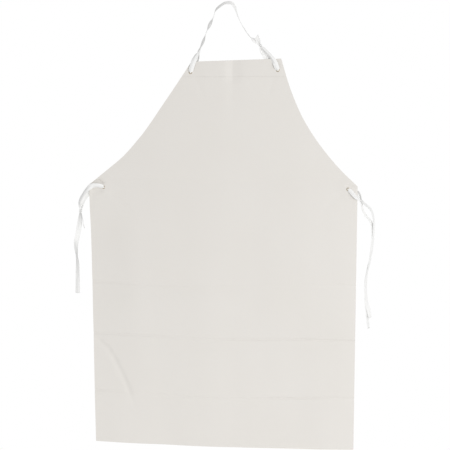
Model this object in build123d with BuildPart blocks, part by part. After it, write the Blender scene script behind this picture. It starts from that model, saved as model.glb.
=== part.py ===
from build123d import *
import os
from math import cos, radians, sin, tan

# A butcher's apron in heavy white vinyl, hanging by its neck strap.
# Millimetres. X runs across the apron, Z is up, and -Y faces the viewer.
# The origin is the top of the neck strap, on its centre line, where it lies over a hook.
# Left and right are the viewer's. A point (x, z) lies in the plane of the sheet, y = 0.

os.makedirs("parts", exist_ok=True)

# ---- driving dimensions -------------------------------------------------------------

sheet_thickness = 0.6
skirt_left = -395.0
skirt_right = 355.0
skirt_bottom = -1255.0
left_shoulder = (skirt_left, -497.0)
right_shoulder = (skirt_right, -497.0)
bib_top_left = (-101.0, -157.0)
bib_top_right = (144.0, -150.0)
left_armhole = [(-175.0, -264.0), (-254.0, -371.0), (-303.0, -423.0), (-343.0, -455.5)]
right_armhole = [(170.5, -234.0), (207.0, -316.0), (263.5, -400.0), (310.0, -454.0)]

hem_bottom = -201.0
hem_gap = 0.2
stitch_line = -198.0
stitch_length = 3.2
stitch_width = 0.7
stitch_height = 0.35
stitch_pitch = 4.2
stitch_margin = 3.0

waist_crease = -477.0
upper_crease = -777.0
middle_crease = -933.0
lower_crease = -1103.0
crease_gap = 2.4

bib_left_hole = (-104.0, -186.0)
bib_right_hole = (135.0, -181.0)
waist_left_hole = (-354.0, -504.0)
waist_right_hole = (329.0, -505.0)
eyelet_bore = 2.7
eyelet_wall = 0.3
eyelet_flange = 4.6
flange_edge = 0.2
eyelet_crown = 0.8
mouth_depth = 0.5
eyelet_curl = 3.8
curl_height = 0.4
curl_bevel = 0.3
washer_thickness = 0.5
fit_gap = 0.05

tape_width = 14.0
tape_thickness = 0.9
gathered_radius = 2.2
strand_stand_off = 2.4

tack_centre = (-79.0, -126.0)
tack_angle = 62.0
tack_length = 6.0
tack_width = 10.0
tack_thickness = 2.0
tack_corner = 1.0
tack_stitches = 5
tack_stitch_length = 4.5
tack_stitch_span = 8.0

neck_knot = (88.0, -115.0)
left_knot = (-421.0, -572.0)
right_knot = (365.5, -536.5)
knot_radius = 4.5
knot_half_length = 5.0

left_tail_pivot = (-435.6, -655.5)
right_tail_pivot = (384.7, -736.0)
tail_offset = 1.2

# ---- tape routes, point by point ----------------------------------------------------

neck_route = [
    (-76.9, -122.0), (-68.0, -105.0), (-61.0, -82.0), (-50.0, -58.0), (-39.5, -38.0),
    (-35.0, -22.0), (-24.0, -9.0), (-7.0, 0.0), (8.0, 0.0), (17.5, -9.5), (23.0, -27.0),
    (33.0, -52.0), (46.0, -74.0), (59.0, -93.0), (71.0, -104.0), (82.0, -111.0),
]
neck_tail_route = [(86.0, -109.0), (81.5, -101.0), (75.0, -93.0)]
left_long_route_upper = [
    (-421.5, -578.0), (-424.0, -595.0), (-427.0, -619.0), (-433.9, -648.4),
]
left_long_route_lower = [
    left_tail_pivot, (-438.5, -670.0), (-435.5, -697.0), (-434.0, -731.0),
    (-435.5, -772.0), (-436.7, -810.0),
]
left_short_route = [(-420.0, -578.5), (-416.0, -593.0), (-414.8, -608.0), (-410.8, -621.0)]
right_front_route_upper = [
    (369.5, -541.6), (381.5, -550.5), (393.0, -562.0), (399.5, -578.0), (400.3, -604.0),
    (399.0, -645.0), (395.5, -684.0), (385.9, -728.6),
]
right_front_route_lower = [
    right_tail_pivot, (381.2, -758.0), (382.0, -793.0), (384.5, -819.0), (391.0, -845.0),
    (395.0, -866.0),
]
right_back_route_upper = [
    (366.4, -543.0), (368.0, -556.0), (373.0, -570.0), (384.0, -583.0), (395.0, -597.0),
    (398.8, -623.0), (397.5, -660.0), (393.0, -695.0), (385.9, -728.6),
]
right_back_route_lower = [
    right_tail_pivot, (381.0, -760.0), (380.5, -793.0), (382.5, -826.0), (387.0, -862.0),
    (391.4, -896.0),
]

# Each strand of a loop, from its eyelet to its knot, as (x, z, half width).
neck_left_strand = [(*bib_left_hole, 2.4), (-98.0, -167.0, 6.5), (-86.0, -141.0, 5.0)]
neck_right_front = [(*bib_right_hole, 2.4), (129.0, -164.0, 6.5), (98.0, -127.0, 4.5)]
neck_right_back = [(*bib_right_hole, 2.4), (116.0, -164.0, 6.0), (94.0, -130.0, 4.5)]
left_front_strand = [
    (*waist_left_hole, 2.4), (-374.0, -501.0, 6.0), (-397.0, -507.0, 7.0),
    (-412.0, -526.0, 7.0), (-420.0, -546.0, 6.5), (-421.0, -561.0, 3.5),
]
left_back_strand = [
    (*waist_left_hole, 2.4), (-378.0, -511.0, 6.0), (-396.0, -524.0, 7.0),
    (-409.0, -546.0, 6.0), (-418.5, -560.5, 3.5),
]
right_front_strand = [
    (*waist_right_hole, 2.4), (341.0, -515.0, 5.5), (352.0, -524.0, 5.5), (361.0, -530.0, 2.8),
]
right_back_strand = [
    (*waist_right_hole, 2.4), (346.0, -507.0, 5.5), (359.0, -514.0, 6.5), (364.5, -527.0, 3.0),
]

# ---- derived dimensions -------------------------------------------------------------

half_sheet = sheet_thickness / 2
half_gap = crease_gap / 2
hem_back_face = half_sheet + hem_gap + sheet_thickness
hole_radius = eyelet_bore + eyelet_wall + fit_gap
panel_span = 2 * (skirt_right - skirt_left)
fold_radius = (hem_back_face + half_sheet) / 2
fold_line = [
    Vector(x, hem_back_face - fold_radius, z - fold_radius) for x, z in (bib_top_left, bib_top_right)
]
bib_holes = (bib_left_hole, bib_right_hole)
waist_holes = (waist_left_hole, waist_right_hole)


def finish(part, name):
    """Label a finished piece and write it to its own file."""
    part.label = name
    export_step(part, f"parts/{name}.step")


def arc_radii(points):
    """The largest arc that each corner of a route has room for, 0.45 of its shorter run."""
    radii = []
    for before, corner, after in zip(points, points[1:], points[2:]):
        run_in = Vector(*corner) - Vector(*before)
        run_out = Vector(*after) - Vector(*corner)
        turn = run_in.get_angle(run_out)
        shorter = min(run_in.length, run_out.length)
        radii.append(0.45 * shorter / tan(radians(turn) / 2))
    return radii


def sheet_outline():
    """The apron's cut edge: a square skirt, two hollowed armholes and the bib's top."""
    with BuildLine() as edge:
        top_left, top_right = [(end.X, end.Z) for end in fold_line]
        Line(top_left, top_right)
        Spline(top_right, *right_armhole, right_shoulder)
        Polyline(right_shoulder, (skirt_right, skirt_bottom), (skirt_left, skirt_bottom), left_shoulder)
        Spline(left_shoulder, *reversed(left_armhole), top_left)
    make_face(edge.edges())


def sheet_band(top, bottom, holes=()):
    """The part of the sheet's outline between two heights, with its eyelet holes."""
    sheet_outline()
    with Locations((0, (top + bottom) / 2)):
        Rectangle(panel_span, top - bottom, mode=Mode.INTERSECT)
    for hole in holes:
        with Locations(hole):
            Circle(hole_radius, mode=Mode.SUBTRACT)


def panel(name, top, bottom, holes=()):
    """One flat panel of the sheet, from crease to crease."""
    with BuildPart() as piece:
        with BuildSketch(Plane.XZ):
            sheet_band(top, bottom, holes)
        extrude(amount=half_sheet, both=True)
    finish(piece.part, name)


def bib_panel():
    """The bib, with its top folded back on itself as a hem: two layers and the fold between."""
    with BuildPart() as piece:
        with BuildSketch(Plane.XZ):
            sheet_band(0, waist_crease + half_gap, bib_holes)
        extrude(amount=half_sheet, both=True)
        with BuildSketch(Plane.XZ.offset(-hem_back_face)):
            sheet_band(0, hem_bottom, bib_holes)
        extrude(amount=sheet_thickness)
        left, right = fold_line
        with BuildSketch(Plane(origin=left, x_dir=(0, 1, 0), z_dir=right - left)):
            Circle(fold_radius)
        extrude(amount=(right - left).length)
    finish(piece.part, "bib_panel")


def stitch_places():
    """Middles of the stitches along the hem, from armhole to armhole."""
    with BuildSketch(mode=Mode.PRIVATE) as edge:
        sheet_band(stitch_line + stitch_width / 2, stitch_line - stitch_width / 2)
    box = edge.sketch.bounding_box()
    first = box.min.X + stitch_margin + stitch_length / 2
    last = box.max.X - stitch_margin - stitch_length / 2
    count = int((last - first) / stitch_pitch) + 1
    return [(first + i * stitch_pitch, stitch_line) for i in range(count)]


def hem_stitching():
    """The hem's seam: one short stitch after another, on the front and on the back."""
    places = stitch_places()
    with BuildPart() as piece:
        for face, height in ((half_sheet, stitch_height), (-hem_back_face, -stitch_height)):
            with BuildSketch(Plane.XZ.offset(face)):
                with Locations(*places):
                    SlotOverall(stitch_length, stitch_width)
            extrude(amount=height)
    finish(piece.part, "hem_stitching")


def eyelet(name, hole, back_face):
    """A brass eyelet and its washer, closed on the sheet around a hole."""
    x, z = hole
    plane = Plane(origin=(x, 0, z), x_dir=(1, 0, 0), z_dir=(0, 0, 1))
    axis = Axis((x, 0, z), (0, 1, 0))
    barrel = eyelet_bore + eyelet_wall
    washer_back = back_face + washer_thickness
    curl_back = washer_back + curl_height
    front = -half_sheet
    rim = (eyelet_flange, front - flange_edge)
    mouth = (eyelet_bore, front - mouth_depth)
    curl = (eyelet_curl - curl_bevel, curl_back)
    with BuildPart() as piece:
        with BuildSketch(plane):
            with BuildLine():
                Polyline((barrel, front), (eyelet_flange, front), rim)
                ThreePointArc(rim, (eyelet_curl, front - eyelet_crown), mouth)
                Polyline(mouth, (eyelet_bore, curl_back), curl)
                Polyline(curl, (eyelet_curl, washer_back), (barrel, washer_back), (barrel, front))
            make_face()
        revolve(axis=axis)
    finish(piece.part, f"{name}_eyelet")
    with BuildPart() as piece:
        with BuildSketch(Plane.XZ.offset(-washer_back)):
            with Locations(hole):
                Circle(eyelet_flange)
                Circle(barrel + fit_gap, mode=Mode.SUBTRACT)
        extrude(amount=washer_thickness)
    finish(piece.part, f"{name}_washer")


def strand_face(stations):
    """A strand's outline, the hull of each pair of circles along it."""
    for (x0, z0, r0), (x1, z1, r1) in zip(stations, stations[1:]):
        with BuildSketch(mode=Mode.PRIVATE) as link:
            with Locations((x0, z0)):
                Circle(r0)
            with Locations((x1, z1)):
                Circle(r1)
            make_hull()
        add(link.sketch)


def loop(name, hole, front_strand, back_strand, back_face):
    """A tape passed through its eyelet: a strand before the sheet, one behind, joined in the bore."""
    back_plane = back_face + strand_stand_off - half_sheet
    with BuildPart() as piece:
        with BuildSketch(Plane.XZ.offset(strand_stand_off)):
            strand_face(front_strand)
        extrude(amount=tape_thickness)
        with BuildSketch(Plane.XZ.offset(-back_plane)):
            strand_face(back_strand)
        extrude(amount=-tape_thickness)
        with BuildSketch(Plane.XZ.offset(strand_stand_off)):
            with Locations(hole):
                Circle(gathered_radius)
        extrude(amount=-(strand_stand_off + back_plane))
    finish(piece.part, name)


def knot(name, centre):
    """A tight round knot, turned about the axis that its tails swing on."""
    x, z = centre
    with BuildPart() as piece:
        with BuildSketch(Plane(origin=(x, 0, z), x_dir=(1, 0, 0), z_dir=(0, -1, 0))):
            with BuildLine():
                Spline(
                    (-knot_half_length, 0),
                    (0, knot_radius),
                    (knot_half_length, 0),
                    tangents=((0, 1), (0, -1)),
                )
                Line((knot_half_length, 0), (-knot_half_length, 0))
            make_face()
        revolve(axis=Axis((x, 0, z), (1, 0, 0)))
    finish(piece.part, name)


def tape(name, route, offset=0.0, round_start=False):
    """A flat tape along a route in a plane parallel to the sheet, its face to the viewer."""
    radii = arc_radii(route)
    plane = Plane.XZ.offset(offset)
    with BuildPart() as piece:
        with BuildLine(plane):
            path = FilletPolyline(*route, radius=radii)
        start = Plane(origin=path @ 0, x_dir=(0, 1, 0), z_dir=path % 0)
        with BuildSketch(start):
            Rectangle(tape_thickness, tape_width)
        sweep(path=path)
        swept = piece.part.volume
        if round_start:
            with BuildSketch(Plane.XZ.offset(offset - tape_thickness / 2)):
                with Locations(route[0]):
                    Circle(tape_width / 2)
            extrude(amount=tape_thickness)
    expected = tape_thickness * tape_width * path.length
    rounded = [round(radius, 1) for radius in radii]
    print(f"{name}: length {path.length:.1f}, volume {swept:.1f} of {expected:.1f}, radii {rounded}")
    finish(piece.part, name)


def tack():
    """The tape's end, doubled back and sewn to itself, and the short stitches that hold it."""
    angle = radians(tack_angle)
    plane = Plane(
        origin=(tack_centre[0], -tack_thickness / 2, tack_centre[1]),
        x_dir=(cos(angle), 0, sin(angle)),
        z_dir=(0, -1, 0),
    )
    with BuildPart() as piece:
        with BuildSketch(plane):
            RectangleRounded(tack_length, tack_width, radius=tack_corner)
        extrude(amount=-tack_thickness)
    finish(piece.part, "neck_left_tack")
    with BuildPart() as piece:
        with BuildSketch(plane):
            with GridLocations(0, tack_stitch_span / (tack_stitches - 1), 1, tack_stitches):
                SlotOverall(tack_stitch_length, stitch_width)
        extrude(amount=stitch_height)
    finish(piece.part, "neck_tack_stitches")


# ---- the sheet ----------------------------------------------------------------------

bib_panel()
hem_stitching()
panel("waist_panel", waist_crease - half_gap, upper_crease + half_gap, waist_holes)
panel("skirt_upper_panel", upper_crease - half_gap, middle_crease + half_gap)
panel("skirt_middle_panel", middle_crease - half_gap, lower_crease + half_gap)
panel("skirt_lower_panel", lower_crease - half_gap, skirt_bottom)

# ---- eyelets ------------------------------------------------------------------------

eyelet("bib_left", bib_left_hole, hem_back_face)
eyelet("bib_right", bib_right_hole, hem_back_face)
eyelet("waist_left", waist_left_hole, half_sheet)
eyelet("waist_right", waist_right_hole, half_sheet)

# ---- neck strap ---------------------------------------------------------------------

tape("neck_strap_tape", neck_route)
tack()
knot("neck_right_knot", neck_knot)
tape("neck_right_tail", neck_tail_route, tail_offset)
loop("neck_left_loop", bib_left_hole, neck_left_strand, neck_left_strand, hem_back_face)
loop("neck_right_loop", bib_right_hole, neck_right_front, neck_right_back, hem_back_face)

# ---- waist ties ---------------------------------------------------------------------

loop("left_tie_loop", waist_left_hole, left_front_strand, left_back_strand, half_sheet)
knot("left_tie_knot", left_knot)
tape("left_long_tail_upper", left_long_route_upper, tail_offset)
tape("left_long_tail_lower", left_long_route_lower, tail_offset, round_start=True)
tape("left_short_tail", left_short_route, -tail_offset)

loop("right_tie_loop", waist_right_hole, right_front_strand, right_back_strand, half_sheet)
knot("right_tie_knot", right_knot)
tape("right_front_tail_upper", right_front_route_upper, tail_offset)
tape("right_front_tail_lower", right_front_route_lower, tail_offset, round_start=True)
tape("right_back_tail_upper", right_back_route_upper, -tail_offset)
tape("right_back_tail_lower", right_back_route_lower, -tail_offset, round_start=True)
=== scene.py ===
import math
import random

import bmesh
import bpy
import numpy as np
from mathutils import Matrix, Vector


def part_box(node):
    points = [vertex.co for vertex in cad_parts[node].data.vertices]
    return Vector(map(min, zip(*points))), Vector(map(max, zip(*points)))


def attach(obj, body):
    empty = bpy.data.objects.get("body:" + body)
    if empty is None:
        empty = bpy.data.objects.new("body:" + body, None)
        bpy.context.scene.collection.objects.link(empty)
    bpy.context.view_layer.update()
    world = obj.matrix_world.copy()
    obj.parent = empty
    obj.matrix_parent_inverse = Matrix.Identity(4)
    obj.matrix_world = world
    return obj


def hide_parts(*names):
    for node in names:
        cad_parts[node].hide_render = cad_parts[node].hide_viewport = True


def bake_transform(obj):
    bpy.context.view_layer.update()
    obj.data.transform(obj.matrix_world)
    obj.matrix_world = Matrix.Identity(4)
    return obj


# A butcher's apron in heavy white vinyl, hung by its tape neck strap.
# Metres, in the CAD frame: X across the apron, Z up, -Y towards the viewer.
# Left and right are the viewer's.

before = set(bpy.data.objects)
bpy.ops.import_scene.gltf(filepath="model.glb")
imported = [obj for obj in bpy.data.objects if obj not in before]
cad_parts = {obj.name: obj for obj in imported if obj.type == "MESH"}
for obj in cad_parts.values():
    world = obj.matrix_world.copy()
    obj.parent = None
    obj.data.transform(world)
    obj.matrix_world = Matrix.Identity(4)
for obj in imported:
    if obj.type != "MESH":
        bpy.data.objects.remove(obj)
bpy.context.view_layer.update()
scene = bpy.context.scene


def box_middle(node):
    """The middle of a CAD node's box."""
    low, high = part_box(node)
    return (low + high) / 2


# ---- sizes --------------------------------------------------------------------------

SHEET_THICKNESS = 0.0006
TAPE_WIDTH = 0.014
TAPE_THICKNESS = 0.0009
GATHERED_WIDTH = 0.0054       # of a tape where it goes into a knot
FOLD_RADIUS = 0.0004          # of the sheet's middle surface, at the hem's fold
HEM_DEPTH = 2 * FOLD_RADIUS   # from the front layer's middle to the back layer's
TWIST_WAVER = 5               # degrees that a hanging tape turns one way or the other
WIDTH_WAVER = 0.015           # share of its width that it is narrower or wider
CUP_WAVER = 0.0009            # how far its edges bend back or forward
THREAD = 0.0006
STITCH_LENGTH = 0.0032
STITCH_PITCH = 0.0042
STITCH_MARGIN = 0.003         # from the sheet's edge to the first stitch

skirt_low, skirt_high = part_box("skirt_lower_panel")
SKIRT_LEFT, SKIRT_RIGHT, SKIRT_BOTTOM = skirt_low.x, skirt_high.x, skirt_low.z

# The armholes' edges, from the hem's top down to the skirt's sides.
LEFT_ARMHOLE = [
    (-0.101, -0.157), (-0.175, -0.264), (-0.254, -0.371), (-0.303, -0.423), (-0.343, -0.4555),
    (-0.395, -0.497),
]
RIGHT_ARMHOLE = [
    (0.144, -0.150), (0.1705, -0.234), (0.207, -0.316), (0.2635, -0.400), (0.310, -0.454),
    (0.355, -0.497),
]
HEM_BOTTOM = -0.201           # of the layer that is turned to the back
STITCH_LINE = -0.198

EYELETS = {
    name: box_middle(f"{name}_eyelet") for name in ("bib_left", "bib_right", "waist_left", "waist_right")
}
EYELET_HOLE = 0.0033          # radius of the hole in the vinyl

CHEVRON_WIDTH = 0.0035        # of the tape's herringbone
RIB_PITCH = 0.0012
WEFT_PITCH = 0.00055
PLY_PITCH = 0.0007            # of the thread's twist

# How finely the tapes and threads are divided.
RUN_STEPS = 12                # along a tape, for each run of its route
TAPE_COLUMNS = 17
WAVER_PITCH = 9               # points along a tape from one random value to the next
THREAD_RINGS = 7
THREAD_SIDES = 8

# Routes of the tapes, point by point, and each point's twist in degrees: 0 faces the viewer.
NECK_ROUTE = [
    (-0.0772, 0.0, -0.122), (-0.0680, 0.0, -0.104), (-0.0600, 0.0, -0.078), (-0.050, 0.0, -0.058),
    (-0.0395, 0.0, -0.038), (-0.035, 0.0, -0.022), (-0.024, 0.0, -0.009), (-0.007, 0.0, 0.0),
    (0.008, 0.0, 0.0), (0.0175, 0.0, -0.0095), (0.023, 0.0, -0.027), (0.033, 0.0, -0.052),
    (0.046, 0.0, -0.074), (0.059, 0.0, -0.092), (0.0745, 0.0, -0.1040), (0.0860, 0.0, -0.1142),
]
NECK_TWIST = [-72, -52, -86, -44, -80, -72, -54, -52, -54, -62, -86, -90, -92, -94, -22, -30]
NECK_TAIL_ROUTE = [(0.0862, -0.0008, -0.1105), (0.0822, -0.0018, -0.1030), (0.0768, -0.0024, -0.0912)]
NECK_TAIL_TWIST = [-30, -12, -6]
NECK_TAIL_WIDTH = [0.0058, 0.0128, 0.0139]
NECK_TAIL_SLANT = -0.0036     # the cut end's right edge runs on, and its left edge stops short
GATHER_START = 0.93           # the strap narrows into its knot over the rest of its length
LEFT_LONG_ROUTE = [
    (-0.4215, 0.0012, -0.578), (-0.424, 0.0012, -0.595), (-0.427, 0.0012, -0.619),
    (-0.4339, 0.0012, -0.6484), (-0.4385, 0.0012, -0.670), (-0.4355, 0.0012, -0.697),
    (-0.434, 0.0012, -0.731), (-0.4355, 0.0012, -0.772), (-0.4367, 0.0012, -0.810),
]
LEFT_LONG_TWIST = [50, 20, -12, -30, 20, 44, 34, 18, 10]
LEFT_SHORT_ROUTE = [
    (-0.420, -0.0012, -0.5785), (-0.416, -0.0012, -0.593), (-0.4148, -0.0012, -0.608),
    (-0.4108, -0.0012, -0.621),
]
LEFT_SHORT_TWIST = [60, 62, 74, 80]
RIGHT_FRONT_ROUTE = [
    (0.3690, 0.0012, -0.5412), (0.3815, 0.0012, -0.5505), (0.3930, 0.0012, -0.5620),
    (0.3995, 0.0012, -0.578), (0.4003, 0.0012, -0.604), (0.399, 0.0012, -0.645),
    (0.3955, 0.0012, -0.684), (0.3859, 0.0012, -0.7286), (0.3812, 0.0012, -0.758),
    (0.382, 0.0012, -0.793), (0.3845, 0.0012, -0.819), (0.391, 0.0012, -0.845),
    (0.395, 0.0012, -0.866),
]
RIGHT_FRONT_TWIST = [-64, -64, -66, -68, -62, -58, -62, -64, -60, -58, -56, -40, -50]
RIGHT_BACK_ROUTE = [
    (0.3664, -0.0012, -0.5425), (0.3680, -0.0012, -0.556), (0.373, -0.0012, -0.570),
    (0.384, -0.0012, -0.583), (0.395, -0.0012, -0.597), (0.3988, -0.0012, -0.623),
    (0.3975, -0.0012, -0.660), (0.393, -0.0012, -0.695), (0.3859, -0.0012, -0.7286),
    (0.381, -0.0012, -0.760), (0.3805, -0.0012, -0.793), (0.3825, -0.0012, -0.826),
    (0.387, -0.0012, -0.862), (0.3914, -0.0012, -0.896),
]
RIGHT_BACK_TWIST = [-66, -66, -66, -68, -64, -62, -60, -66, -68, -62, -58, -64, -60, -66]
FRONT = np.array([0.0, -1.0, 0.0])   # towards the viewer


# ---- numbers along lines ------------------------------------------------------------

def smooth_through(places, values, at):
    """A smooth curve through the values given at rising places, read at other places."""
    places, values = np.asarray(places, float), np.asarray(values, float)
    slopes = np.gradient(values, places)
    at = np.clip(at, places[0], places[-1])
    i = np.clip(np.searchsorted(places, at, side="right") - 1, 0, len(places) - 2)
    run = places[i + 1] - places[i]
    t = (at - places[i]) / run
    return (
        (2 * t**3 - 3 * t**2 + 1) * values[i]
        + (t**3 - 2 * t**2 + t) * run * slopes[i]
        + (3 * t**2 - 2 * t**3) * values[i + 1]
        + (t**3 - t**2) * run * slopes[i + 1]
    )


def ease(value, low, high):
    """0 below low, 1 above high, and a smooth rise between them."""
    t = np.clip((value - low) / (high - low), 0, 1)
    return t * t * (3 - 2 * t)


def unit(vectors):
    """Vectors along the last axis, each cut to a length of one."""
    return vectors / np.linalg.norm(vectors, axis=-1, keepdims=True)


def route_line(points):
    """Points along the smooth NURBS line that a route's points control."""
    curve = bpy.data.curves.new("route", "CURVE")
    curve.dimensions = "3D"
    spline = curve.splines.new("NURBS")
    spline.points.add(len(points) - 1)
    for control, place in zip(spline.points, points):
        control.co = (*place, 1)
    spline.order_u = 3
    spline.use_endpoint_u = True
    spline.resolution_u = RUN_STEPS
    holder = bpy.data.objects.new("route", curve)
    scene.collection.objects.link(holder)
    bpy.context.view_layer.update()
    mesh = bpy.data.meshes.new_from_object(holder.evaluated_get(bpy.context.evaluated_depsgraph_get()))
    line = np.array([v.co for v in mesh.vertices], float)
    bpy.data.objects.remove(holder)
    return line


def distances(line):
    """How far along a line each of its points is."""
    return np.concatenate([[0], np.cumsum(np.linalg.norm(np.diff(line, axis=0), axis=1))])


def along_route(values, count):
    """Values given at a route's points, spread over the points of its NURBS line."""
    last = len(values) - 2
    places = [0.0, *(i + 0.5 for i in range(last)), float(last)]
    return smooth_through(places, values, np.linspace(0, last, count))


# ---- meshes -------------------------------------------------------------------------

def make_object(name, points, faces, uvs, material):
    """A smooth-shaded mesh object with one UV, in metres, for each point."""
    mesh = bpy.data.meshes.new(name)
    mesh.from_pydata(np.asarray(points).tolist(), [], faces)
    layer = mesh.uv_layers.new(name="UVMap")
    corners = np.zeros(len(mesh.loops), np.int32)
    mesh.loops.foreach_get("vertex_index", corners)
    layer.data.foreach_set("uv", np.asarray(uvs, np.float32)[corners].ravel())
    mesh.polygons.foreach_set("use_smooth", [True] * len(mesh.polygons))
    mesh.materials.append(material)
    made = bpy.data.objects.new(name, mesh)
    scene.collection.objects.link(made)
    return made


def face_outward(made):
    """Turn a closed mesh's faces outward."""
    work = bmesh.new()
    work.from_mesh(made.data)
    bmesh.ops.recalc_face_normals(work, faces=work.faces)
    work.to_mesh(made.data)
    work.free()
    return made


def tube_faces(rings, size):
    """Quads that join one ring of points to the next."""
    return [
        (i * size + j, (i + 1) * size + j, (i + 1) * size + (j + 1) % size, i * size + (j + 1) % size)
        for i in range(rings - 1)
        for j in range(size)
    ]


def tape_shell(line, face, width, folds, phase=0.0, cup=0.0, thickness=TAPE_THICKNESS, slant=0.0):
    """Points, faces and UVs of a tape: flat at its full width, pleated where it is gathered.

    folds and phase set the pleats, cup bends the edges back and slant cuts the far end askew.
    """
    line = np.asarray(line, float)
    tangent = unit(np.gradient(line, axis=0))
    face = unit(face - (face * tangent).sum(1, keepdims=True) * tangent)
    side = np.cross(face, tangent)
    width = np.broadcast_to(np.asarray(width, float), (len(line),))
    cup = np.broadcast_to(np.asarray(cup, float), (len(line),))
    station = np.sin(np.linspace(-math.pi / 2, math.pi / 2, TAPE_COLUMNS))
    gather = width / (math.pi * folds) * np.sqrt(np.clip(TAPE_WIDTH / width - 1, 0, None))
    pleat = gather[:, None] * np.cos(math.pi * folds * station + phase)
    lift = pleat - cup[:, None] * station**2
    half = 0.5 * thickness * np.sqrt(1 - np.clip(np.abs(station), 0, 1) ** 10)
    run = distances(line)
    spread = line[:, None] + side[:, None] * (width[:, None] * station / 2)[..., None]
    spread += tangent[:, None] * (slant * ease(run / run[-1], 0.3, 1.0)[:, None] * station)[..., None]
    top = spread + face[:, None] * (lift + half)[..., None]
    bottom = spread + face[:, None] * (lift - half)[..., None]
    ring = np.concatenate([top, bottom[:, -2:0:-1]], axis=1)
    count, size = ring.shape[:2]
    faces = tube_faces(count, size)
    for first in (0, (count - 1) * size):
        faces.append((first, first + 1, first + size - 1))
        faces.extend(
            (first + j, first + j + 1, first + size - j - 1, first + size - j)
            for j in range(1, TAPE_COLUMNS - 2)
        )
        faces.append(tuple(first + TAPE_COLUMNS + step for step in (-2, -1, 0)))
    flat = np.concatenate([station, station[-2:0:-1]]) * TAPE_WIDTH / 2
    uvs = np.stack(np.broadcast_arrays(flat[None, :], run[:, None]), axis=-1)
    return ring.reshape(-1, 3), faces, uvs.reshape(-1, 2)


def twisted_face(line, twist):
    """Which way a tape faces along a line, turned from the viewer's direction by its twist."""
    tangent = unit(np.gradient(line, axis=0))
    front = unit(FRONT - tangent * -tangent[:, 1:2])
    side = np.cross(tangent, front)
    angle = np.radians(twist)[:, None]
    return front * np.cos(angle) + side * np.sin(angle)


def waver(count, seed, size):
    """A slow random wander along a tape, the same on each run."""
    dice = random.Random(seed)
    values = [dice.uniform(-size, size) for _ in range(count // WAVER_PITCH + 3)]
    return smooth_through(np.arange(len(values)) * WAVER_PITCH, values, np.arange(count))


def free_tape(name, route, twist, seed, width=TAPE_WIDTH, slant=0.0):
    """A limp tape along a route, with its twist and the small unevenness of cloth."""
    line = route_line(route)
    count = len(line)
    turn = along_route(twist, count) + waver(count, seed, TWIST_WAVER)
    face = twisted_face(line, turn)
    width = width * (1 - WIDTH_WAVER + waver(count, seed + 1, WIDTH_WAVER))
    cup = waver(count, seed + 2, CUP_WAVER)
    shell = tape_shell(line, face, width, folds=2.0, cup=cup, slant=slant)
    return face_outward(make_object(name, *shell, materials["tape"])), line


def join_shells(shells):
    """Several (points, faces, uvs) as one."""
    points, faces, uvs, start = [], [], [], 0
    for shell_points, shell_faces, shell_uvs in shells:
        points.append(shell_points)
        uvs.append(shell_uvs)
        faces.extend(tuple(start + i for i in f) for f in shell_faces)
        start += len(shell_points)
    return np.concatenate(points), faces, np.concatenate(uvs)


def stitch_shell(middle, direction, outward, length):
    """One stitch: a short thread whose ends dive into the cloth."""
    direction, outward = unit(np.asarray(direction, float)), unit(np.asarray(outward, float))
    across = np.cross(direction, outward)
    rings, sides = THREAD_RINGS, THREAD_SIDES
    t = np.linspace(-1, 1, rings)
    line = np.asarray(middle, float) + np.outer(t * length / 2, direction)
    line += np.outer(0.5 * THREAD * (1 - 1.8 * t**4), outward)
    radius = 0.5 * THREAD * np.sqrt(1 - 0.75 * t**6)
    turn = np.arange(sides) * 2 * math.pi / sides
    circle = np.outer(np.cos(turn), across) + np.outer(np.sin(turn), outward)
    ring = line[:, None] + radius[:, None, None] * circle[None]
    faces = tube_faces(rings, sides)
    faces.append(tuple(range(sides)))
    faces.append(tuple(range(rings * sides - 1, (rings - 1) * sides - 1, -1)))
    uvs = np.stack(np.broadcast_arrays(turn[None, :] * radius.max(), (t * length / 2)[:, None]), axis=-1)
    return ring.reshape(-1, 3), faces, uvs.reshape(-1, 2)


# ---- materials ----------------------------------------------------------------------

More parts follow.
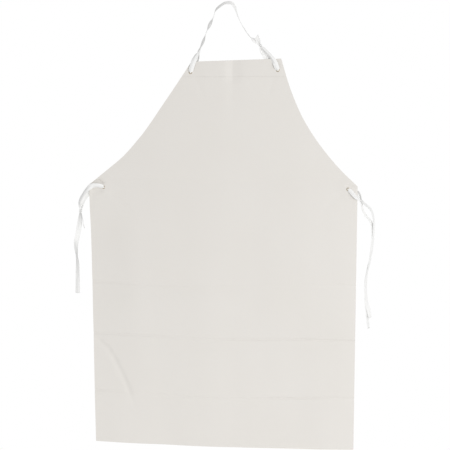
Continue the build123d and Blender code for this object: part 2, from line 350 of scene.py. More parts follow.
class Shader:
    """A material's node tree, with one short call for each node."""

    def __init__(self, name):
        self.material = bpy.data.materials.new(name)
        self.material.use_nodes = True
        self.tree = self.material.node_tree
        self.surface = self.tree.nodes["Principled BSDF"]

    def add(self, kind, settings=None, **inputs):
        """A new node, with its settings made and its inputs fed."""
        node = self.tree.nodes.new(kind)
        for key, value in (settings or {}).items():
            setattr(node, key, value)
        for key, value in inputs.items():
            self.feed(node, key.replace("_", " "), value)
        return node

    def feed(self, node, key, value):
        """Set or link an input, by its name or, as i0, i1 and so on, by its number."""
        by_number = key[0] == "i" and key[1:].isdigit()
        socket = node.inputs[int(key[1:])] if by_number else node.inputs[key]
        if isinstance(value, bpy.types.NodeSocket):
            self.tree.links.new(value, socket)
        else:
            socket.default_value = value

    def math(self, operation, a, b=0.0):
        return self.add("ShaderNodeMath", {"operation": operation}, i0=a, i1=b).outputs[0]

    def flat_place(self):
        """The point on the flat cut cloth, in metres."""
        return self.add("ShaderNodeUVMap", {"uv_map": "UVMap"}).outputs["UV"]

    def noise(self, place, scale, detail=3.0):
        return self.add("ShaderNodeTexNoise", Vector=place, Scale=scale, Detail=detail).outputs["Fac"]

    def ramp(self, factor, low, high, at=(0.3, 0.7)):
        """A blend of two colours as the factor goes from the first place to the second."""
        made = self.add("ShaderNodeValToRGB", Fac=factor)
        for stop, place, colour in zip(made.color_ramp.elements, at, (low, high)):
            stop.position = place
            stop.color = (*colour, 1)
        return made.outputs["Color"]

    def span(self, factor, low, high):
        """A number that runs from low to high as the factor goes from 0 to 1."""
        return self.add("ShaderNodeMapRange", Value=factor, To_Min=low, To_Max=high).outputs[0]

    def bump(self, height, distance, strength=1.0, below=None):
        made = self.add("ShaderNodeBump", Strength=strength, Distance=distance, Height=height)
        if below is not None:
            self.feed(made, "Normal", below)
        return made.outputs["Normal"]

    def set(self, **inputs):
        """Feed the surface's inputs, and give the finished material."""
        for key, value in inputs.items():
            self.feed(self.surface, key.replace("_", " "), value)
        return self.material


def vinyl():
    """Calendered white vinyl: satin, faintly cloudy, with a fine grain and a slow unevenness."""
    shade = Shader("white_vinyl")
    place = shade.flat_place()
    cloud = shade.noise(place, 4.5, detail=2.0)
    colour = shade.ramp(cloud, (0.781, 0.753, 0.712), (0.790, 0.763, 0.725))
    grain = shade.noise(place, 1400.0, detail=2.0)
    specks = shade.noise(place, 420.0, detail=4.0)
    speck = shade.ramp(specks, (0.965, 0.96, 0.95), (1.0, 1.0, 1.0), (0.28, 0.42))
    tinted = shade.add("ShaderNodeMix", {"data_type": "RGBA", "blend_type": "MULTIPLY"})
    for key, value in (("i0", 1.0), ("i6", colour), ("i7", speck)):
        shade.feed(tinted, key, value)
    slow = shade.bump(shade.noise(place, 38.0, detail=2.0), 0.0008, 0.25)
    fine = shade.bump(grain, 0.00006, 0.6, below=slow)
    rough = shade.span(shade.noise(place, 26.0, detail=4.0), 0.40, 0.54)
    return shade.set(
        Base_Color=tinted.outputs[2], Roughness=rough, Normal=fine, Specular_IOR_Level=0.42,
        Coat_Weight=0.06, Coat_Roughness=0.35,
    )


def tape():
    """Herringbone cotton tape: chevron ribs, crossed by the fine weft, with painted shade in the weave's
    hollows.
    """
    shade = Shader("cotton_tape")
    place = shade.add("ShaderNodeSeparateXYZ", Vector=shade.flat_place())
    across, along = place.outputs[0], place.outputs[1]
    zigzag = shade.math("ADD", along, shade.math("PINGPONG", across, CHEVRON_WIDTH))
    rib = shade.math("SINE", shade.math("MULTIPLY", zigzag, 2 * math.pi / RIB_PITCH))
    weft = shade.math("SINE", shade.math("MULTIPLY", across, 2 * math.pi / WEFT_PITCH))
    weave = shade.math("ADD", shade.math("MULTIPLY", rib, 0.35), shade.math("MULTIPLY", weft, 0.15))
    height = shade.math("ADD", weave, 0.5)
    # Painted shade: the colour is darker where the weave lies low, in its hollows.
    colour = shade.ramp(height, (0.885, 0.883, 0.872), (0.945, 0.943, 0.935), (0.0, 0.9))
    fuzz = shade.noise(shade.flat_place(), 2600.0, detail=3.0)
    slub = shade.noise(shade.flat_place(), 300.0, detail=2.0)
    body = shade.bump(shade.math("ADD", height, shade.math("MULTIPLY", slub, 0.5)), 0.00016, 0.6)
    soft = shade.bump(fuzz, 0.00008, 0.5, below=body)
    return shade.set(
        Base_Color=colour, Roughness=shade.span(slub, 0.82, 0.95), Normal=soft, Sheen_Weight=0.25,
        Sheen_Roughness=0.5, Specular_IOR_Level=0.25,
    )


def thread():
    """Spun polyester sewing thread, two plies twisted, painted darker than white as shade."""
    shade = Shader("sewing_thread")
    place = shade.add("ShaderNodeSeparateXYZ", Vector=shade.flat_place())
    slant = shade.math("ADD", shade.math("MULTIPLY", place.outputs[0], 1.6), place.outputs[1])
    ply = shade.math("SINE", shade.math("MULTIPLY", slant, 2 * math.pi / PLY_PITCH))
    height = shade.math("ADD", shade.math("MULTIPLY", ply, 0.5), 0.5)
    # Painted shade: the thread is darker than white to stand in for the shadow line along the hem, and
    # darker still in the grooves between its plies.
    colour = shade.ramp(height, (0.66, 0.64, 0.60), (0.80, 0.78, 0.74), (0.0, 0.8))
    twist = shade.bump(height, 0.0001)
    return shade.set(Base_Color=colour, Roughness=0.6, Normal=twist, Sheen_Weight=0.2)


def brass():
    """Pressed brass, dulled in patches, and painted much darker than clean brass as shade."""
    shade = Shader("eyelet_brass")
    place = shade.add("ShaderNodeTexCoord").outputs["Object"]
    patch = shade.noise(place, 380.0, detail=4.0)
    # Painted shade: both colours are much darker than clean brass. The darker patches are dull tarnish.
    colour = shade.ramp(patch, (0.27, 0.205, 0.12), (0.56, 0.46, 0.28), (0.35, 0.62))
    fine = shade.bump(shade.noise(place, 2400.0, detail=2.0), 0.00005, 0.4)
    rough = shade.span(patch, 0.46, 0.24)
    return shade.set(Base_Color=colour, Metallic=1.0, Roughness=rough, Normal=fine)


def floor_paint():
    """A plain pale studio floor."""
    shade = Shader("pale_floor")
    place = shade.add("ShaderNodeTexCoord").outputs["Object"]
    colour = shade.ramp(shade.noise(place, 5.0), (0.86, 0.86, 0.855), (0.88, 0.88, 0.875))
    return shade.set(Base_Color=colour, Roughness=0.8)


materials = {
    "vinyl": vinyl(), "tape": tape(), "thread": thread(), "brass": brass(), "floor": floor_paint(),
}

# ---- camera, lights and floor -------------------------------------------------------

CAMERA_PLACE = (0.2696, -2.7466, -0.1780)
CAMERA_YAW, CAMERA_PITCH, CAMERA_ROLL = 5.83, -8.85, -0.25
CAMERA_LENS = 80.0
SENSOR_WIDTH = 36.0
FLOOR_HEIGHT = -1.80
FLOOR_RADIUS = 1.28
BACKDROP_STRENGTH = 1.0
AMBIENT_STRENGTH = 0.60

# Each softbox: its place, what it points at, its width and height, and its power.
SOFTBOXES = {
    "key": ((3.2, -4.2, -0.6), (0.0, 0.0, -0.7), (2.0, 2.0), 102.0),
    "top": ((2.0, -3.6, 2.4), (0.0, 0.0, -0.7), (1.6, 1.6), 16.0),
    "fill": ((-1.2, -1.6, -1.5), (-0.2, 0.0, -1.1), (1.0, 0.5), 2.8),
    "back": ((-1.6, 3.4, 0.6), (0.0, 0.0, -0.7), (2.0, 2.0), 60.0),
}


def make_camera():
    """The camera, a little to the right and looking slightly down."""
    data = bpy.data.cameras.new("camera")
    data.lens = CAMERA_LENS
    data.sensor_width = SENSOR_WIDTH
    data.clip_start, data.clip_end = 0.05, 50.0
    camera = bpy.data.objects.new("camera", data)
    camera.matrix_world = (
        Matrix.Translation(CAMERA_PLACE)
        @ Matrix.Rotation(math.radians(CAMERA_YAW), 4, "Z")
        @ Matrix.Rotation(math.radians(90 + CAMERA_PITCH), 4, "X")
        @ Matrix.Rotation(math.radians(CAMERA_ROLL), 4, "Z")
    )
    scene.collection.objects.link(camera)
    scene.camera = camera


def softbox(name, place, target, size, power):
    """A rectangular lamp that points at a place."""
    data = bpy.data.lights.new(name, "AREA")
    data.shape = "RECTANGLE"
    data.size, data.size_y = size
    data.energy = power
    lamp = bpy.data.objects.new(name, data)
    lamp.location = place
    lamp.rotation_euler = (Vector(target) - Vector(place)).to_track_quat("-Z", "Y").to_euler()
    scene.collection.objects.link(lamp)


def make_world():
    """White behind the apron, and a softer white light from all round."""
    world = bpy.data.worlds.new("studio")
    scene.world = world
    world.use_nodes = True
    tree = world.node_tree
    backdrop = tree.nodes["Background"]
    backdrop.inputs["Color"].default_value = (1, 1, 1, 1)
    seen = tree.nodes.new("ShaderNodeLightPath")
    strength = tree.nodes.new("ShaderNodeMapRange")
    strength.inputs["To Min"].default_value = AMBIENT_STRENGTH
    strength.inputs["To Max"].default_value = BACKDROP_STRENGTH
    tree.links.new(seen.outputs["Is Camera Ray"], strength.inputs["Value"])
    tree.links.new(strength.outputs[0], backdrop.inputs["Strength"])


def make_floor():
    """A round floor below the apron, which is no part of it."""
    bpy.ops.mesh.primitive_circle_add(vertices=128, radius=FLOOR_RADIUS, fill_type="NGON")
    floor = bpy.context.object
    floor.name = "floor"
    floor.location = (0, 0, FLOOR_HEIGHT)
    floor.data.materials.append(materials["floor"])


make_camera()
make_world()
make_floor()
for name, settings in SOFTBOXES.items():
    softbox(name, *settings)
scene.view_settings.view_transform = "Standard"


# ---- tapes that hang free -----------------------------------------------------------


share = np.linspace(0, 1, len(route_line(NECK_ROUTE)))
strap_width = TAPE_WIDTH - (TAPE_WIDTH - GATHERED_WIDTH) * ease(share, GATHER_START, 1.0)
strap, strap_line = free_tape("neck_strap", NECK_ROUTE, NECK_TWIST, seed=3, width=strap_width)
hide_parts("neck_strap_tape")
end_width = along_route(NECK_TAIL_WIDTH, len(route_line(NECK_TAIL_ROUTE)))
neck_end, _ = free_tape(
    "neck_strap_end", NECK_TAIL_ROUTE, NECK_TAIL_TWIST, seed=14, width=end_width, slant=NECK_TAIL_SLANT
)
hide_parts("neck_right_tail")
for piece in (strap, neck_end):
    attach(piece, "neck_strap")

left_long, left_long_line = free_tape("left_tie_long_tail", LEFT_LONG_ROUTE, LEFT_LONG_TWIST, seed=25)
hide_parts("left_long_tail_upper", "left_long_tail_lower")
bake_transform(left_long)
left_short, _ = free_tape("left_tie_short_tail", LEFT_SHORT_ROUTE, LEFT_SHORT_TWIST, seed=36)
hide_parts("left_short_tail")
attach(left_short, "left_tie")

for name, route, twist, seed in (
    ("front", RIGHT_FRONT_ROUTE, RIGHT_FRONT_TWIST, 47),
    ("back", RIGHT_BACK_ROUTE, RIGHT_BACK_TWIST, 58),
):
    piece, line = free_tape(f"right_tie_{name}_tail", route, twist, seed)
    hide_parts(f"right_{name}_tail_upper", f"right_{name}_tail_lower")
    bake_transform(piece)


# ---- tape loops through the eyelets -------------------------------------------------

# Each stop is a place, the way the tape faces there, and how wide it lies.
# A loop runs down its front strand, through the eyelet and back up behind.
LOOPS = {
    "neck_left": [
        ((-0.0795, -0.0006, -0.1262), (-0.93, -0.3, 0.4), 0.0105),
        ((-0.0860, -0.0026, -0.1370), (-0.60, -0.8, 0.3), 0.0125),
        ((-0.0932, -0.0042, -0.1520), (-0.15, -1, 0), 0.0138),
        ((-0.0985, -0.0046, -0.1670), (0, -1, 0), 0.0139),
        ((-0.1016, -0.0046, -0.1770), (0, -1, 0), 0.0138),
        ((-0.1038, -0.0044, -0.1842), (0, -1, -0.2), 0.0122),
        ((-0.1050, -0.0018, -0.1876), (-0.2, -0.3, -1), 0.0062),
        ((-0.1038, 0.0012, -0.1858), (-0.1, 0.1, -1), 0.0044),
        ((-0.1020, 0.0048, -0.1810), (0, 1, -0.5), 0.0080),
        ((-0.0940, 0.0052, -0.1690), (0.3, 1, 0), 0.0128),
        ((-0.0850, 0.0050, -0.1540), (0.6, 0.9, 0), 0.0130),
        ((-0.0800, 0.0036, -0.1400), (0.8, 0.6, -0.2), 0.0124),
        ((-0.0792, 0.0010, -0.1262), (0.93, 0.3, -0.4), 0.0105),
    ],
    "neck_right": [
        ((0.0884, -0.0012, -0.1172), (0.3, -1, 0.3), 0.0054),
        ((0.0975, -0.0028, -0.1255), (-0.6, -1, -0.4), 0.0090),
        ((0.1100, -0.0044, -0.1385), (-0.7, -1, -0.5), 0.0126),
        ((0.1215, -0.0050, -0.1520), (-0.5, -1, -0.3), 0.0136),
        ((0.1288, -0.0050, -0.1630), (0, -1, 0), 0.0139),
        ((0.1322, -0.0048, -0.1725), (0, -1, 0), 0.0139),
        ((0.1345, -0.0040, -0.1796), (0, -1, -0.3), 0.0116),
        ((0.1362, -0.0014, -0.1832), (0.4, -0.3, -1), 0.0058),
        ((0.1350, 0.0012, -0.1812), (0.4, 0.1, -1), 0.0044),
        ((0.1325, 0.0048, -0.1775), (0.1, 1, -0.5), 0.0080),
        ((0.1225, 0.0052, -0.1680), (0, 1, 0), 0.0128),
        ((0.1102, 0.0050, -0.1548), (-0.1, 1, 0), 0.0139),
        ((0.0990, 0.0040, -0.1405), (-0.1, 1, 0), 0.0135),
        ((0.0907, 0.0026, -0.1285), (-0.1, 1, 0), 0.0100),
        ((0.0876, 0.0010, -0.1180), (-0.3, 1, 0), 0.0056),
    ],
    "left_tie": [
        ((-0.4214, -0.0010, -0.5680), (-1, -1, 0), 0.0054),
        ((-0.4256, -0.0034, -0.5570), (-1.2, -1, 0.1), 0.0120),
        ((-0.4222, -0.0060, -0.5400), (-1.2, -1, 0.4), 0.0139),
        ((-0.4110, -0.0080, -0.5222), (-1.0, -1, 0.6), 0.0139),
        ((-0.3985, -0.0086, -0.5075), (-0.5, -1, 0.4), 0.0139),
        ((-0.3850, -0.0088, -0.4990), (-0.1, -1, -0.3), 0.0139),
        ((-0.3700, -0.0080, -0.4985), (0, -1, -0.45), 0.0137),
        ((-0.3590, -0.0058, -0.5008), (0, -1, -0.3), 0.0122),
        ((-0.3530, -0.0036, -0.5028), (0.5, -1, 0), 0.0084),
        ((-0.3506, -0.0010, -0.5038), (1, -0.3, 0), 0.0054),
        ((-0.3540, 0.0012, -0.5040), (1, 0.1, 0), 0.0044),
        ((-0.3580, 0.0050, -0.5052), (0.5, 1, 0), 0.0078),
        ((-0.3740, 0.0074, -0.5092), (0, 1, -0.2), 0.0126),
        ((-0.3935, 0.0062, -0.5175), (-0.1, 1, -0.2), 0.0138),
        ((-0.4085, 0.0026, -0.5320), (-0.1, 1, -0.1), 0.0139),
        ((-0.4165, 0.0012, -0.5470), (-0.1, 1, 0), 0.0139),
        ((-0.4200, 0.0012, -0.5595), (-0.2, 1, 0), 0.0105),
        ((-0.4210, 0.0008, -0.5685), (-0.4, 1, 0), 0.0056),
    ],
    "right_tie": [
        ((0.3650, -0.0010, -0.5335), (0.3, -1, 0.2), 0.0052),
        ((0.3615, -0.0030, -0.5325), (0.4, -1, 0.4), 0.0070),
        ((0.3530, -0.0042, -0.5268), (0.4, -1, 0.5), 0.0112),
        ((0.3440, -0.0046, -0.5175), (0.3, -1, 0.35), 0.0118),
        ((0.3360, -0.0046, -0.5096), (0.1, -1, 0.1), 0.0116),
        ((0.3296, -0.0038, -0.5048), (-0.3, -1, 0.3), 0.0090),
        ((0.3270, -0.0010, -0.5032), (-1, -0.3, 0.6), 0.0054),
        ((0.3290, 0.0012, -0.5050), (-1, 0.1, 0.6), 0.0044),
        ((0.3325, 0.0038, -0.5058), (-0.4, 1, 0.3), 0.0078),
        ((0.3435, 0.0044, -0.5068), (0, 1, 0.2), 0.0124),
        ((0.3560, 0.0042, -0.5130), (0.3, 1, 0.3), 0.0132),
        ((0.3630, 0.0032, -0.5230), (0.5, 1, 0.1), 0.0100),
        ((0.3652, 0.0010, -0.5335), (0.3, 1, 0), 0.0052),
    ],
}


def tape_loop(name, stops, body, phase, cup):
    """A tape threaded through an eyelet, from stop to stop."""
    line = route_line([place for place, _, _ in stops])
    count = len(line)
    ways = np.array([way for _, way, _ in stops], float)
    face = np.stack([along_route(ways[:, axis], count) for axis in range(3)], axis=1)
    width = np.minimum(along_route([wide for _, _, wide in stops], count), TAPE_WIDTH * 0.995)
    shell = tape_shell(line, face, width, folds=1.3, phase=phase, cup=cup)
    made = face_outward(make_object(f"{name}_tape_loop", *shell, materials["tape"]))
    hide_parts(f"{name}_loop")
    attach(made, body)
    return made


loops = {
    name: tape_loop(name, LOOPS[name], body, phase, cup)
    for name, body, phase, cup in (
        ("neck_left", "bib", 0.1, 0.0014), ("neck_right", "bib", -0.3, 0.0014),
        ("left_tie", "waist", 0.4, 0.0012), ("right_tie", "waist", -0.2, 0.0016),
    )
}


# ---- knots and the sewn end ---------------------------------------------------------

# Each turn of tape round a knot: how many times round, its radius, its rise, its lean and its width.
KNOT_TURNS = ((1.15, 0.0022, 0.0030, 0.35, 0.0046), (0.95, 0.0026, -0.0020, -0.45, 0.0040))
KNOT_REACH = 0.0058           # of the tape inside, to each side of the knot's middle

# The strap's sewn end: layers of tape, a row of stitches across it and a bar of thread above and below.
TACK_WAY = unit(np.array([0.469, 0.0, 0.883]))
TACK_TWIST = -72.0
TACK_FACE = twisted_face(np.outer([0.0, 1.0], TACK_WAY), np.full(2, TACK_TWIST))[0]
TACK_WIDTH = 0.0122
TACK_LAYERS = ((0.0008, 0.0050), (0.0, 0.0058), (-0.0008, 0.0046))   # lift and reach of each
SEAM_PLACES = np.linspace(-0.0046, 0.0046, 9)
SEAM_LIFT, SEAM_SLANT, SEAM_LENGTH = 0.0012, 0.18, 0.0044
BAR_PLACES = (-0.0021, 0.0021)
BAR_LIFT, BAR_LENGTH = 0.0013, 0.0104


def knot_shell(centre, axis, seed):
    """A tight overhand knot: gathered tape wound round the tape that runs through it."""
    dice = random.Random(seed)
    centre, axis = np.asarray(centre, float), unit(np.asarray(axis, float))
    front = unit(FRONT - (FRONT @ axis) * axis)
    side = np.cross(axis, front)
    shells = []
    for turns, radius, rise, lean, wide in KNOT_TURNS:
        t = np.linspace(-0.5, 0.5, 44)
        angle = 2 * math.pi * turns * t + dice.uniform(0, 6)
        out = np.outer(np.cos(angle), front) + np.outer(np.sin(angle), side)
        tip = rise * t + lean * radius * np.cos(angle)
        line = centre + out * (radius * (1 - 0.5 * (2 * t) ** 8))[:, None] + np.outer(tip, axis)
        shells.append(tape_shell(line, out, wide, folds=1.0, phase=dice.uniform(0, 3)))
    t = np.linspace(-1, 1, 20)
    line = centre + np.outer(t * KNOT_REACH, axis)
    core = np.tile(front, (len(t), 1))
    shells.append(tape_shell(line, core, 0.0050 - 0.0008 * t**2, folds=1.5, phase=1.0, thickness=0.0014))
    return join_shells(shells)


def make_knot(name, node, body, axis, seed):
    """A knot in place of its CAD node, riding on a body."""
    made = face_outward(make_object(name, *knot_shell(box_middle(node), axis, seed), materials["tape"]))
    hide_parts(node)
    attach(made, body)
    return made


neck_knot = make_knot("neck_knot", "neck_right_knot", "neck_strap", (0.6, 0, -0.8), 4)
left_knot = make_knot("left_tie_tape_knot", "left_tie_knot", "left_tie", (0.1, 0, 1), 5)
right_knot = make_knot("right_tie_tape_knot", "right_tie_knot", "right_tie", (-0.4, 0, 1), 6)


def make_tack():
    """The strap's end, doubled back and sewn down."""
    middle = np.array(box_middle("neck_left_tack"))
    t = np.linspace(-1, 1, 16)
    shells = []
    face = np.tile(TACK_FACE, (len(t), 1))
    for lift, reach in TACK_LAYERS:
        line = middle + np.outer(t * reach, TACK_WAY) + lift * TACK_FACE
        shells.append(tape_shell(line, face, TACK_WIDTH, folds=2.0, cup=0.0004))
    tack = face_outward(make_object("neck_strap_seam", *join_shells(shells), materials["tape"]))
    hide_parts("neck_left_tack")
    across = np.cross(TACK_FACE, TACK_WAY)
    threads = []
    for i, step in enumerate(SEAM_PLACES):
        way = TACK_WAY + (SEAM_SLANT if i % 2 else -SEAM_SLANT) * across
        place = middle + step * across + SEAM_LIFT * TACK_FACE
        threads.append(stitch_shell(place, way, TACK_FACE, SEAM_LENGTH))
    for step in BAR_PLACES:
        place = middle + step * TACK_WAY + BAR_LIFT * TACK_FACE
        threads.append(stitch_shell(place, across, TACK_FACE, BAR_LENGTH))
    sewing = face_outward(make_object("neck_seam_stitches", *join_shells(threads), materials["thread"]))
    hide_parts("neck_tack_stitches")
    for made in (tack, sewing):
        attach(made, "neck_strap")
    return tack, sewing


tack, tack_sewing = make_tack()


# ---- the sheet ----------------------------------------------------------------------

WAIST_CREASE, UPPER_CREASE, MIDDLE_CREASE, LOWER_CREASE = -0.477, -0.777, -0.933, -1.103

# Each piece, from the top: its name, its bodies, the nodes it replaces, its crease and its lower end.
SHEET_PIECES = [
    ("vinyl_bib", ("bib", "waist"), ("bib_panel",), WAIST_CREASE, -0.627),
    ("vinyl_waist", ("waist", "skirt_upper"), ("waist_panel",), UPPER_CREASE, -0.855),
    ("vinyl_skirt", ("skirt_upper", "skirt_middle"), ("skirt_upper_panel",), MIDDLE_CREASE, -1.018),
    (
        "vinyl_foot", ("skirt_middle", "skirt_lower"), ("skirt_middle_panel", "skirt_lower_panel"),
        LOWER_CREASE, SKIRT_BOTTOM,
    ),
]

# Round each eyelet, where the hang and the creases, and the wrinkles and the sewing, come in.
CALM_RING, STILL_RING = (0.006, 0.045), (0.0055, 0.010)

# How finely the sheet is divided.
COLUMNS = 150
ROW_PITCH = 0.005
HEM_BACK_STEPS = 10
HEM_FRONT_STEPS = 8
FOLD_STEPS = 8
STITCH_ROWS = (0.004, 0.0025, 0.0012, 0.0, -0.0012)   # above the line of stitches
CLOSE_REACH = 0.010                                   # of the close rows, above and below a crease
CLOSE_PITCH = 0.00125
CLEAR_OF_CLOSE = 0.0105                               # no even row is nearer to a crease

# Each crease: its height, its depth, and how strong it is and how far it sags at places across the sheet.
CREASES = [
    (WAIST_CREASE, 0.00020,
     [(-0.40, 0.2), (-0.30, 1), (-0.18, 1), (0.0, 0.5), (0.36, 0.5)],
     [(-0.40, 0), (0.0, -0.003), (0.36, 0)]),
    (UPPER_CREASE, 0.00110,
     [(-0.40, 1.1), (-0.33, 1), (-0.22, 0.7), (0.0, 0.15), (0.25, 0.2), (0.36, 0.7)],
     [(-0.40, 0), (-0.25, -0.004), (0.0, -0.006), (0.3, 0.003), (0.36, 0)]),
    (MIDDLE_CREASE, 0.00140,
     [(-0.40, 0.8), (-0.25, 1), (-0.10, 0.5), (0.03, 1.5), (0.22, 1.5), (0.36, 1.4)],
     [(-0.40, 0.003), (-0.26, 0.003), (-0.06, -0.002), (0.05, -0.003), (0.22, 0.001), (0.36, -0.003)]),
    (LOWER_CREASE, 0.00125,
     [(-0.40, 1.3), (-0.28, 0.4), (-0.10, 0.9), (0.10, 1.1), (0.17, 2.2), (0.26, 1.6), (0.36, 0.7)],
     [(-0.40, 0.003), (-0.30, 0.002), (0.0, -0.007), (0.18, -0.002), (0.29, 0.001), (0.36, 0)]),
]
CREASE_WIDTH = 0.0034
PANEL_TIP, PANEL_TIP_REACH = 0.0009, 0.035   # of the panels towards each crease

# The flutes of the sheet's hang: size, pitch across the sheet, phase, and lean with height.
FLUTES = ((0.0010, 0.335, 0.21, 1.7), (0.0004, 0.190, -0.35, -2.9), (0.00015, 0.098, 0.10, 5.0))

# The crease down the middle: a fine line in a soft groove, strong in the hem and faint below it.
CENTRE_CREASE = 0.0118
CENTRE_LINE_DEPTH, CENTRE_LINE_WIDTH = 0.0003, 0.003
GROOVE_DEPTH = 0.0033
GROOVE_LEFT, GROOVE_RIGHT = 0.0165, 0.0205   # its half width to each side

SEWN_DEPTH, SEWN_WIDTH = 0.00020, 0.0016     # of the groove along the hem's stitches

# Soft wrinkles: points along the line, half width and depth.
WRINKLES = [
    ([(-0.396, -0.946), (-0.377, -0.954), (-0.354, -0.973), (-0.335, -1.002), (-0.316, -1.040),
      (-0.298, -1.080), (-0.286, -1.115), (-0.275, -1.160)], 0.0080, 0.0024),
    ([(-0.389, -0.492), (-0.378, -0.485), (-0.367, -0.4845), (-0.356, -0.491), (-0.350, -0.499)],
     0.0036, 0.0028),
    ([(-0.391, -0.513), (-0.378, -0.516), (-0.366, -0.515), (-0.354, -0.509)], 0.0056, 0.0030),
    ([(-0.340, -0.515), (-0.310, -0.545), (-0.270, -0.575)], 0.011, 0.0006),
    ([(0.348, -0.4975), (0.338, -0.4965), (0.328, -0.4975), (0.321, -0.502)], 0.0032, 0.0016),
    ([(0.318, -0.514), (0.290, -0.538), (0.262, -0.556)], 0.010, 0.0005),
    ([(-0.098, -0.194), (-0.080, -0.222), (-0.070, -0.262)], 0.009, 0.0004),
    ([(0.130, -0.190), (0.116, -0.222), (0.108, -0.262)], 0.009, 0.0004),
]


def edge_at(armhole, skirt_edge, z):
    """Where the sheet's left or right edge is at a height."""
    xs, zs = zip(*reversed(armhole))
    return np.where(z < zs[0], skirt_edge, smooth_through(zs, xs, z))


def near_line(x, z, points):
    """Each place's distance from a line of points, and the nearest point's share of its run, 0 to 1."""
    points = np.asarray(points, float)
    best, share = np.full(x.shape, 1e9), np.zeros(x.shape)
    for i, (a, b) in enumerate(zip(points, points[1:])):
        run = b - a
        t = np.clip(((x - a[0]) * run[0] + (z - a[1]) * run[1]) / (run @ run), 0, 1)
        gap = np.hypot(x - a[0] - t * run[0], z - a[1] - t * run[1])
        nearer = gap < best
        best = np.where(nearer, gap, best)
        share = np.where(nearer, (i + t) / (len(points) - 1), share)
    return best, share


def slow_waves(x, z):
    """The sheet's own hang: a slight bow across it, and flutes that grow towards the foot."""
    left, right = edge_at(LEFT_ARMHOLE, SKIRT_LEFT, z), edge_at(RIGHT_ARMHOLE, SKIRT_RIGHT, z)
    across = np.clip((2 * x - left - right) / (right - left), -1, 1)
    fall = ease(-z, 0.16, 1.2)
    bow = -(0.0015 + 0.0070 * fall) * (1 - across**2) + 0.0035 * fall * across**2
    turned = 0.0088 * (1 - ease(x, -0.395, -0.255))
    turned = turned * ease(-z, 0.53, 0.64) * (1 - 0.7 * ease(-z, 0.80, 1.15))
    flutes = sum(
        size * np.sin(2 * math.pi * (x / pitch + phase) + lean * z) for size, pitch, phase, lean in FLUTES
    )
    lazy = 0.0005 * np.sin(2 * math.pi * (z / 0.27 + 0.3 * x))
    lazy = lazy + 0.0003 * np.sin(2 * math.pi * (z / 0.13 - x))
    return bow + turned + (0.25 + 0.95 * fall) * flutes + lazy


def creased(x, z):
    """The storage creases, as narrow grooves between panels that tip slightly."""
    total = np.zeros(x.shape)
    for height, depth, strengths, sags in CREASES:
        strength = smooth_through(*zip(*strengths), x)
        gap = z - height - smooth_through(*zip(*sags), x)
        total += strength * depth * np.exp(-(gap / CREASE_WIDTH) ** 2)
        total += PANEL_TIP * strength * np.exp(-np.abs(gap) / PANEL_TIP_REACH)
    gap = x - CENTRE_CREASE
    fade = 1 - 0.72 * ease(-z, 0.200, 0.222) - 0.24 * ease(-z, 0.230, 0.330)
    fine = CENTRE_LINE_DEPTH * np.exp(-(gap / CENTRE_LINE_WIDTH) ** 2)
    soft = GROOVE_DEPTH * np.exp(-(gap / np.where(gap < 0, GROOVE_LEFT, GROOVE_RIGHT)) ** 2)
    return total + fade * (fine + soft)


def wrinkled(x, z):
    """The soft wrinkles, each fading out at its ends."""
    total = np.zeros(x.shape)
    for points, width, depth in WRINKLES:
        gap, share = near_line(x, z, points)
        fade = ease(share, 0.0, 0.2) * (1 - ease(share, 0.75, 1.0))
        total += depth * np.exp(-(gap / width) ** 2) * fade
    return total


def sewn(x, z):
    """The groove that the hem's stitches pull, deeper at each stitch."""
    pull = 0.8 + 0.2 * np.cos(2 * math.pi * x / STITCH_PITCH)
    return SEWN_DEPTH * pull * np.exp(-((z - STITCH_LINE) / SEWN_WIDTH) ** 2)


def relief(x, z):
    """How far behind the flat plane the sheet's middle lies, flattening out at the eyelets."""
    calm, still = np.ones(x.shape), np.ones(x.shape)
    for eyelet in EYELETS.values():
        gap = np.hypot(x - eyelet.x, z - eyelet.z)
        calm *= ease(gap, *CALM_RING)
        still *= ease(gap, *STILL_RING)
    return calm * (slow_waves(x, z) + creased(x, z)) + still * (wrinkled(x, z) + sewn(x, z))


def row_heights():
    """Heights of the mesh's rows below the hem, each once, and closer together at the creases."""
    count = round((HEM_BOTTOM - SKIRT_BOTTOM) / ROW_PITCH)
    even = np.linspace(HEM_BOTTOM, SKIRT_BOTTOM, count + 1)
    creases = np.array([height for height, *_ in CREASES])
    even = [z for z in even if np.abs(creases - z).min() > CLEAR_OF_CLOSE]
    steps = np.arange(-CLOSE_REACH, CLOSE_REACH + 0.0001, CLOSE_PITCH)
    close = [height + step for height in creases for step in steps]
    return np.array(sorted({*even, *close, LEFT_ARMHOLE[-1][1], RIGHT_ARMHOLE[-1][1]}, reverse=True))


def sheet_grid():
    """The sheet's middle surface, in rows up the hem's back layer, over its fold and down the front."""
    across = np.linspace(0, 1, COLUMNS + 1)
    top = LEFT_ARMHOLE[0][1] + (RIGHT_ARMHOLE[0][1] - LEFT_ARMHOLE[0][1]) * across
    top = top - FOLD_RADIUS - SHEET_THICKNESS / 2
    rows = []
    for share in np.linspace(0, 1, HEM_BACK_STEPS + 1)[:-1]:
        rows.append((HEM_BOTTOM + share * (top - HEM_BOTTOM), HEM_DEPTH, 0.0))
    for turn in np.linspace(0, math.pi, FOLD_STEPS + 1):
        rows.append((top, FOLD_RADIUS * (1 + math.cos(turn)), FOLD_RADIUS * math.sin(turn)))
    for share in np.linspace(0, 1, HEM_FRONT_STEPS + 1)[1:-1]:
        rows.append((top + share * (STITCH_LINE + 0.006 - top), 0.0, 0.0))
    for height in [*(STITCH_LINE + np.array(STITCH_ROWS)), *row_heights()]:
        rows.append((np.full(across.shape, height), 0.0, 0.0))
    points = []
    for z, back, rise in rows:
        left, right = edge_at(LEFT_ARMHOLE, SKIRT_LEFT, z), edge_at(RIGHT_ARMHOLE, SKIRT_RIGHT, z)
        x = left + (right - left) * across
        points.append(np.stack([x, relief(x, z) + back, z + rise], axis=1))
    return np.array(points)


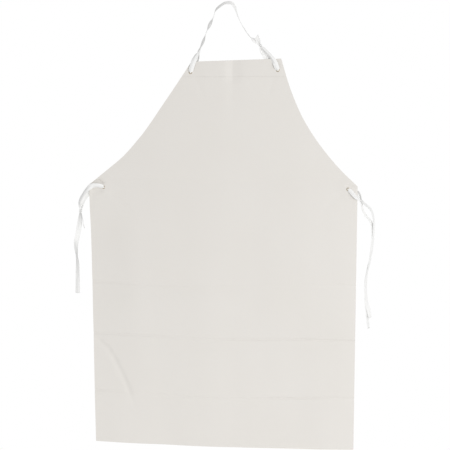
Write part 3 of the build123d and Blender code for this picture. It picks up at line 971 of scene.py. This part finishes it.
def sheet_piece(name, points, ways, flat, first, last):
    """The rows from first to last as a closed shell, with the eyelets' holes."""
    points, ways, flat = points[first:last + 1], ways[first:last + 1], flat[first:last + 1]
    rows, columns = points.shape[:2]
    middle, ways, flat = points.reshape(-1, 3).copy(), ways.reshape(-1, 3), flat.reshape(-1, 2)
    quads = np.array([
        (i * columns + j, (i + 1) * columns + j, (i + 1) * columns + j + 1, i * columns + j + 1)
        for i in range(rows - 1)
        for j in range(columns - 1)
    ])
    for eyelet in EYELETS.values():
        centre = np.array([eyelet.x, eyelet.z])
        gap = np.hypot(*(middle[quads].mean(axis=1)[:, [0, 2]] - centre).T)
        kept = gap > EYELET_HOLE
        if kept.all():
            continue
        ring = np.intersect1d(quads[~kept], quads[kept])
        away = middle[ring][:, [0, 2]] - centre
        middle[np.ix_(ring, [0, 2])] = centre + away / np.hypot(*away.T)[:, None] * EYELET_HOLE
        quads = quads[kept]
    used, quads = np.unique(quads, return_inverse=True)
    middle, ways, flat, quads = middle[used], ways[used], flat[used], quads.reshape(-1, 4)
    count = len(middle)
    shell = np.concatenate([middle + ways * SHEET_THICKNESS / 2, middle - ways * SHEET_THICKNESS / 2])
    edges = np.stack([quads, np.roll(quads, -1, axis=1)], axis=-1).reshape(-1, 2)
    _, place, uses = np.unique(np.sort(edges, axis=1), axis=0, return_index=True, return_counts=True)
    rim = edges[place[uses == 1]]
    rim_quads = np.stack([rim[:, 1], rim[:, 0], rim[:, 0] + count, rim[:, 1] + count], axis=1)
    faces = [*map(tuple, quads), *map(tuple, quads[:, ::-1] + count), *map(tuple, rim_quads)]
    made = make_object(name, shell, faces, np.concatenate([flat, flat]), materials["vinyl"])
    mesh = made.data
    mesh.update()
    sides = [tuple(way) for way in np.concatenate([ways, -ways])]
    normals = []
    for face in mesh.polygons:
        rim_face = face.index >= 2 * len(quads)
        normals.extend([tuple(face.normal)] * 4 if rim_face else [sides[i] for i in face.vertices])
    mesh.normals_split_custom_set(normals)
    return made


def make_sheet():
    """The sheet's pieces, each with its greatest width, its length and its area."""
    points = sheet_grid()
    down, across = np.gradient(points, axis=0), np.gradient(points, axis=1)
    ways = unit(np.cross(down, across))
    run = distances(points[:, COLUMNS // 2])
    flat = np.stack(np.broadcast_arrays(points[..., 0], -run[:, None]), axis=-1)
    heights = points[:, 0, 2]
    front_start = int(np.argmax(heights)) + 1
    made, first = [], 0
    for name, bodies, nodes, crease, end in SHEET_PIECES:
        last = front_start + int(np.argmin(np.abs(heights[front_start:] - end)))
        piece = sheet_piece(name, points, ways, flat, first, last)
        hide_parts(*nodes)
        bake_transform(piece)
        band = points[first:last + 1]
        spans = np.linalg.norm(np.diff(band, axis=0), axis=2).mean(axis=1)
        wide = band[:, -1, 0] - band[:, 0, 0]
        area = float((spans * (wide[1:] + wide[:-1]) / 2).sum())
        made.append((piece, float(wide.max()), float(spans.sum()), area))
        first = last
    return made


def make_hem_stitches():
    """One short stitch after another along the hem, in front and behind."""
    left, right = (
        float(edge_at(hole, side, np.array(STITCH_LINE)))
        for hole, side in ((LEFT_ARMHOLE, SKIRT_LEFT), (RIGHT_ARMHOLE, SKIRT_RIGHT))
    )
    first = left + STITCH_MARGIN + STITCH_LENGTH / 2
    count = int((right - STITCH_MARGIN - STITCH_LENGTH / 2 - first) / STITCH_PITCH) + 1
    shells = []
    for x in first + np.arange(count) * STITCH_PITCH:
        depth = float(relief(np.array([x]), np.array([STITCH_LINE]))[0])
        front, back = depth - SHEET_THICKNESS / 2, depth + HEM_DEPTH + SHEET_THICKNESS / 2
        for y, outward in ((front, -1), (back, 1)):
            shells.append(stitch_shell((x, y, STITCH_LINE), (1, 0, 0), (0, outward, 0), STITCH_LENGTH))
    made = face_outward(make_object("hem_stitches", *join_shells(shells), materials["thread"]))
    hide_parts("hem_stitching")
    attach(made, "bib")
    return made


hem_stitches = make_hem_stitches()
for piece, wide, long, area in make_sheet():
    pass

# ---- eyelets ------------------------------------------------------------------------

for name in EYELETS:
    for part in ("eyelet", "washer"):
        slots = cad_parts[f"{name}_{part}"].data.materials
        slots.clear()
        slots.append(materials["brass"])
